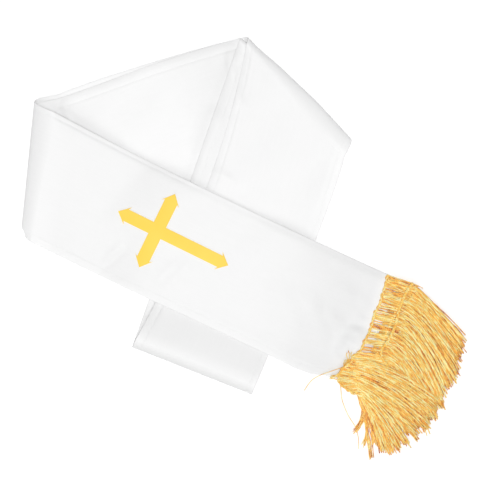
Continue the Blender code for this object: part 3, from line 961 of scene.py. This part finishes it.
def locks_piece(material, rng):
    """The single locks, each a few strands from one root."""
    threads = []
    for x0, y0, x1, y1, x2, y2, count, spread in LOCKS:
        for _ in range(count):
            root = plan(x0, y0) + scatter(rng, LOCK_ROOT_SCATTER)
            knee = plan(x1, y1) + scatter(rng, spread)
            end = plan(x2, y2) + scatter(rng, spread)
            heights = (LOCK_ROOT_HEIGHT, rng.uniform(*LOCK_KNEE_HEIGHTS) * MM,
                       rng.uniform(*LOCK_TIP_HEIGHTS) * MM)
            full = rng.uniform(*LOCK_LENGTHS)
            threads.append((strand_line(root, knee, end, heights, full, rng),
                            strand_radii(STRAND_RADIUS * rng.uniform(*LOCK_WIDTHS)),
                            rng.random()))
    return tubes("single_locks", threads, material, STRAND_FLATNESS)


# Loose sewing threads, and the frayed end of the header's braid: points in plan
# and heights.
THREAD_PATHS = (
    (((98, -122), (90.5, -124.6), (79, -128.8), (71, -133), (65.5, -138.5),
      (60.9, -145.5)), (6, 5.6, 4.8, 2.6, 0.6, 0.3)),
    (((97.5, -137), (98.5, -142.5), (100.2, -156), (106.3, -171.3), (113.8, -183.4),
      (116.9, -195.4), (117.2, -206.1)), (3.5, 2, 0.6, 0.4, 0.4, 0.4, 0.3)),
)
TUFT_PATHS = (
    (((108.5, -121), (107.2, -115), (107.4, -109), (106.2, -104)), (5.4, 6.2, 6.6, 6.4)),
    (((107, -121), (106, -114), (104.2, -109), (105, -106)), (5.4, 6, 6.2, 6.2)),
    (((109.5, -119), (109.6, -113), (108.8, -108), (109.9, -105.5)), (5.4, 6.4, 6.8, 6.2)),
    (((104, -124), (101.5, -118), (103.4, -113.5), (106.4, -116.5)), (5, 6.2, 6.8, 6)),
    (((112, -121), (113.4, -114.5), (110.4, -112), (108, -116)), (5.4, 6.8, 7.2, 6.4)),
    (((99, -130), (94, -131), (90.5, -131.8), (87.2, -131.4)), (4.6, 4.2, 3.4, 2.6)),
    (((100, -133.5), (95, -134), (91, -133.2), (86.8, -133.4)), (4.2, 3.6, 2.8, 2.2)),
    (((98, -127), (103, -128.5), (106.5, -124), (103, -121)), (4.8, 6.4, 6.8, 6)),
    (((100, -131.5), (106, -131), (110, -127), (107.5, -122.5)), (4.8, 6.6, 7.2, 6.4)),
    (((97, -133), (102, -137.5), (109, -142), (116, -145.5)), (3.4, 4.4, 4.6, 4)),
    (((95, -133.5), (101, -138.5), (107.5, -143.5), (115, -147)), (3, 3.4, 3.6, 3.2)),
)

Threads = namedtuple("Threads", "name paths radius tone steps")
TUFT = Threads("frayed_tuft", TUFT_PATHS, 0.45 * MM, 0.55, 16)
LOOSE = Threads("loose_threads", THREAD_PATHS, 0.34 * MM, 0.6, 40)


def threads_piece(threads, material):
    """Single threads along listed paths."""
    shares = np.linspace(0.0, 1.0, threads.steps)
    lines = []
    for points, heights in threads.paths:
        z = np.interp(shares, np.linspace(0.0, 1.0, len(heights)), heights) * MM
        at = along_curve(plan(*points), shares)
        lines.append((raised(at, z), threads.radius, threads.tone))
    return tubes(threads.name, lines, material)


def gold_material():
    """Twisted gold thread. A tube's tone makes it darker or lighter, and its colour holds painted
    shade and painted highlights.
    """
    n = Nodes("gold_thread")
    uv = n.add("UVMap", uv_map="thread").outputs["UV"]
    parts = n.add("SeparateXYZ", {"Vector": uv}).outputs
    turns = n.calculate("DIVIDE", parts["Y"], TWIST_PITCH)
    doubled = n.calculate("MULTIPLY", n.calculate("ADD", turns, parts["X"]), 4.0 * math.pi)
    ply = n.calculate("SINE", doubled)
    bump = n.add("Bump", {"Height": ply, "Strength": 0.5, "Distance": 0.0002})
    tone = n.add("Attribute", attribute_name="tone").outputs["Fac"]
    # mottle along the thread: partly its own tone, partly painted glints and painted shade of the
    # twist
    tone_and_glint_mottle = n.noise(uv, (1.4, 180.0, 1.0), 1.0)
    spread = n.add("MapRange", {"Value": tone_and_glint_mottle, "From Min": 0.38, "From Max": 0.62})
    even = n.add("Mix", {"Factor": 0.66, 2: spread.outputs["Result"], 3: tone})
    # the twist of the plies also darkens and lightens the colour: painted shade in their grooves,
    # painted highlights on their crowns
    mixed = n.calculate("MULTIPLY_ADD", ply, 0.08, even.outputs["Result"])
    # the darkest stop is painted shade between the strands, and the palest is a painted highlight
    colour = n.ramp(mixed, (0.20, (0.40, 0.065, 0.003)), (0.38, (0.98, 0.40, 0.030)),
                    (0.60, (1.0, 0.66, 0.108)), (0.88, (1.0, 0.94, 0.46)))
    return n.surface({
        "Normal": bump.outputs["Normal"], "Base Color": colour, "Roughness": 0.40,
        "Specular IOR Level": 0.7, "Sheen Weight": 0.30})


# ------------ cross

CROSS_MIDDLE = plan(-91.2, 20.1)
CROSS_ANGLE = -26.2
CROSS_THICKNESS = 0.45 * MM
CROSS_LIFT = 0.72 * MM  # of its middle above the middle of the cloth
CROSS_CELL = 1.7 * MM
MERGE = 0.02 * MM  # nearer than this, a cut takes a corner as its own
CROSS_BEVEL = 0.08 * MM
BEVEL_ABOVE = math.radians(50.0)
TWILL_SLANT = math.radians(58.0)
BARB_LENGTH = 11.2 * MM
BARB_HALF_SPAN = 9.9 * MM
BARB_SWEEP = 1.9 * MM
Arm = namedtuple("Arm", "turn length half_width")
ARMS = (Arm(0, 81.7, 6.45), Arm(90, 42, 7), Arm(180, 45, 6.45), Arm(270, 42.4, 7))


def cross_outline():
    """The flat outline of the cross about its middle, arm by arm."""
    points = []
    for arm, following in zip(ARMS, ARMS[1:] + ARMS[:1]):
        outward = direction(arm.turn)
        left = direction(arm.turn + 90.0)
        length, width = arm.length * MM, arm.half_width * MM
        root = length - BARB_LENGTH + BARB_SWEEP
        profile = ((root, -width), (root - BARB_SWEEP, -BARB_HALF_SPAN), (length, 0.0),
                   (root - BARB_SWEEP, BARB_HALF_SPAN), (root, width),
                   (following.half_width * MM, width))
        points += [outward * x + left * y for x, y in profile]
    return points


def cross_piece(material):
    """The cross is cut from one sheet and follows the cloth below it."""
    surface = bmesh.new()
    surface.faces.new([surface.verts.new((*point, 0.0)) for point in cross_outline()])
    reach = round(max(arm.length for arm in ARMS) * MM / CROSS_CELL)
    for normal in ((1.0, 0.0, 0.0), (0.0, 1.0, 0.0)):
        for step in range(-reach, reach + 1):
            everything = surface.verts[:] + surface.edges[:] + surface.faces[:]
            place = [axis * (step + 0.5) * CROSS_CELL for axis in normal]
            bmesh.ops.bisect_plane(surface, geom=everything, plane_co=place, plane_no=normal,
                                   dist=MERGE)
    mesh = bpy.data.meshes.new("cross_applique")
    surface.to_mesh(mesh)
    surface.free()
    flat = np.empty(len(mesh.vertices) * 3)
    mesh.vertices.foreach_get("co", flat)
    flat = flat.reshape(-1, 3)[:, :2]
    strip_map(mesh, flat)
    along, left = direction(CROSS_ANGLE), direction(CROSS_ANGLE + 90.0)
    at = CROSS_MIDDLE + flat[:, :1] * along + flat[:, 1:] * left
    z = height(TOP_LEVEL, at) + creased("front_stretch", at) + CROSS_LIFT
    mesh.vertices.foreach_set("co", raised(at, z).ravel())
    obj = smooth_object("cross_applique", mesh, material)
    thicken(obj, CROSS_THICKNESS)
    edges = obj.modifiers.new("edges", "BEVEL")
    edges.width = CROSS_BEVEL
    edges.segments = 2
    edges.limit_method = "ANGLE"
    edges.angle_limit = BEVEL_ABOVE
    return obj


def cross_material():
    """Gold cloth, with its twill at a slant to the cross."""
    n = Nodes("gold_cloth")
    uv = n.add("UVMap", uv_map="strip").outputs["UV"]
    slanted = n.add("Mapping", {"Vector": uv, "Rotation": (0.0, 0.0, TWILL_SLANT)})
    twill = n.bands(slanted.outputs["Vector"], "X", 330.0, 0.7)
    clouds = n.add("TexNoise", {"Vector": uv, "Scale": 26.0, "Detail": 3.0}).outputs["Fac"]
    bump = n.add("Bump", {"Height": twill, "Strength": 0.22, "Distance": 0.00006})
    colour = n.ramp(clouds, (0.3, (0.955, 0.635, 0.062)), (0.7, (0.985, 0.68, 0.084)))
    return n.surface({
        "Normal": bump.outputs["Normal"], "Base Color": colour, "Roughness": 0.5,
        "Specular IOR Level": 0.3, "Sheen Weight": 0.08})


# ------------ build

FRINGE_SEED = 11
satin = satin_material()
outer = satin_panel("outer_panel", ("front_stretch", "back_stretch_under", "side_stretch"),
                    BY_NAME["side_stretch_under"], satin)
inner = satin_panel("inner_panel", ("side_stretch_under", "back_stretch", "front_stretch_under"),
                    None, satin)
cross = cross_piece(cross_material())
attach(cross, "root")
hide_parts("cross")
gold_thread = gold_material()
rng = random.Random(FRINGE_SEED)
fringes = [(header_piece(header, gold_thread, rng), header.node) for header in HEADERS]
fringes += [(sheaf_piece(sheaf, gold_thread, rng), sheaf.node) for sheaf in SHEAVES]
fringes.append((locks_piece(gold_thread, rng), "front_fringe"))
fringes += [(threads_piece(loose, gold_thread), "front_fringe") for loose in (TUFT, LOOSE)]
for piece, node in fringes:
    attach(piece, "root")
    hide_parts(node)

# ------------ studio

CAMERA_DISTANCE = 2.6
CAMERA_AIM = (0.0053, -0.0006, 0.007)
VIEW_WIDTH = 0.5165  # of the floor that the camera frames

camera_data = bpy.data.cameras.new("camera")
camera = added("camera", camera_data)
camera.location = CAMERA_AIM
camera.location.z += CAMERA_DISTANCE
camera_data.sensor_width = 36.0
camera_data.lens = camera_data.sensor_width * CAMERA_DISTANCE / VIEW_WIDTH
camera_data.clip_end = 20.0
bpy.context.scene.camera = camera

floor_mesh = bpy.data.meshes.new("floor")
floor_mesh.from_pydata([(-4, -4, 0), (4, -4, 0), (4, 4, 0), (-4, 4, 0)], [], [(0, 1, 2, 3)])
floor_mesh.materials.append(floor_material())
floor = added("floor", floor_mesh)
floor.location.z = -0.2 * MM  # just below the stole

world = bpy.data.worlds.new("studio")
world.use_nodes = True
background = world.node_tree.nodes["Background"]
background.inputs["Color"].default_value = WHITE
background.inputs["Strength"].default_value = 0.26
bpy.context.scene.world = world


def soft_light(name, size, place, watts):
    """A square light, turned towards the middle of the stole."""
    data = bpy.data.lights.new(name, "AREA")
    data.size = size
    data.energy = watts
    light = added(name, data)
    x, y, z = place
    light.location = place
    light.rotation_euler = (math.atan2(math.hypot(x, y), z), 0.0, math.atan2(x, -y))


soft_light("overhead", 1.0, (0.0, 0.0, 3.3), 71.0)
soft_light("window", 1.8, (-0.3, -2.4, 1.7), 26.0)

view = bpy.context.scene.view_settings
view.view_transform = "Standard"
view.look = "None"
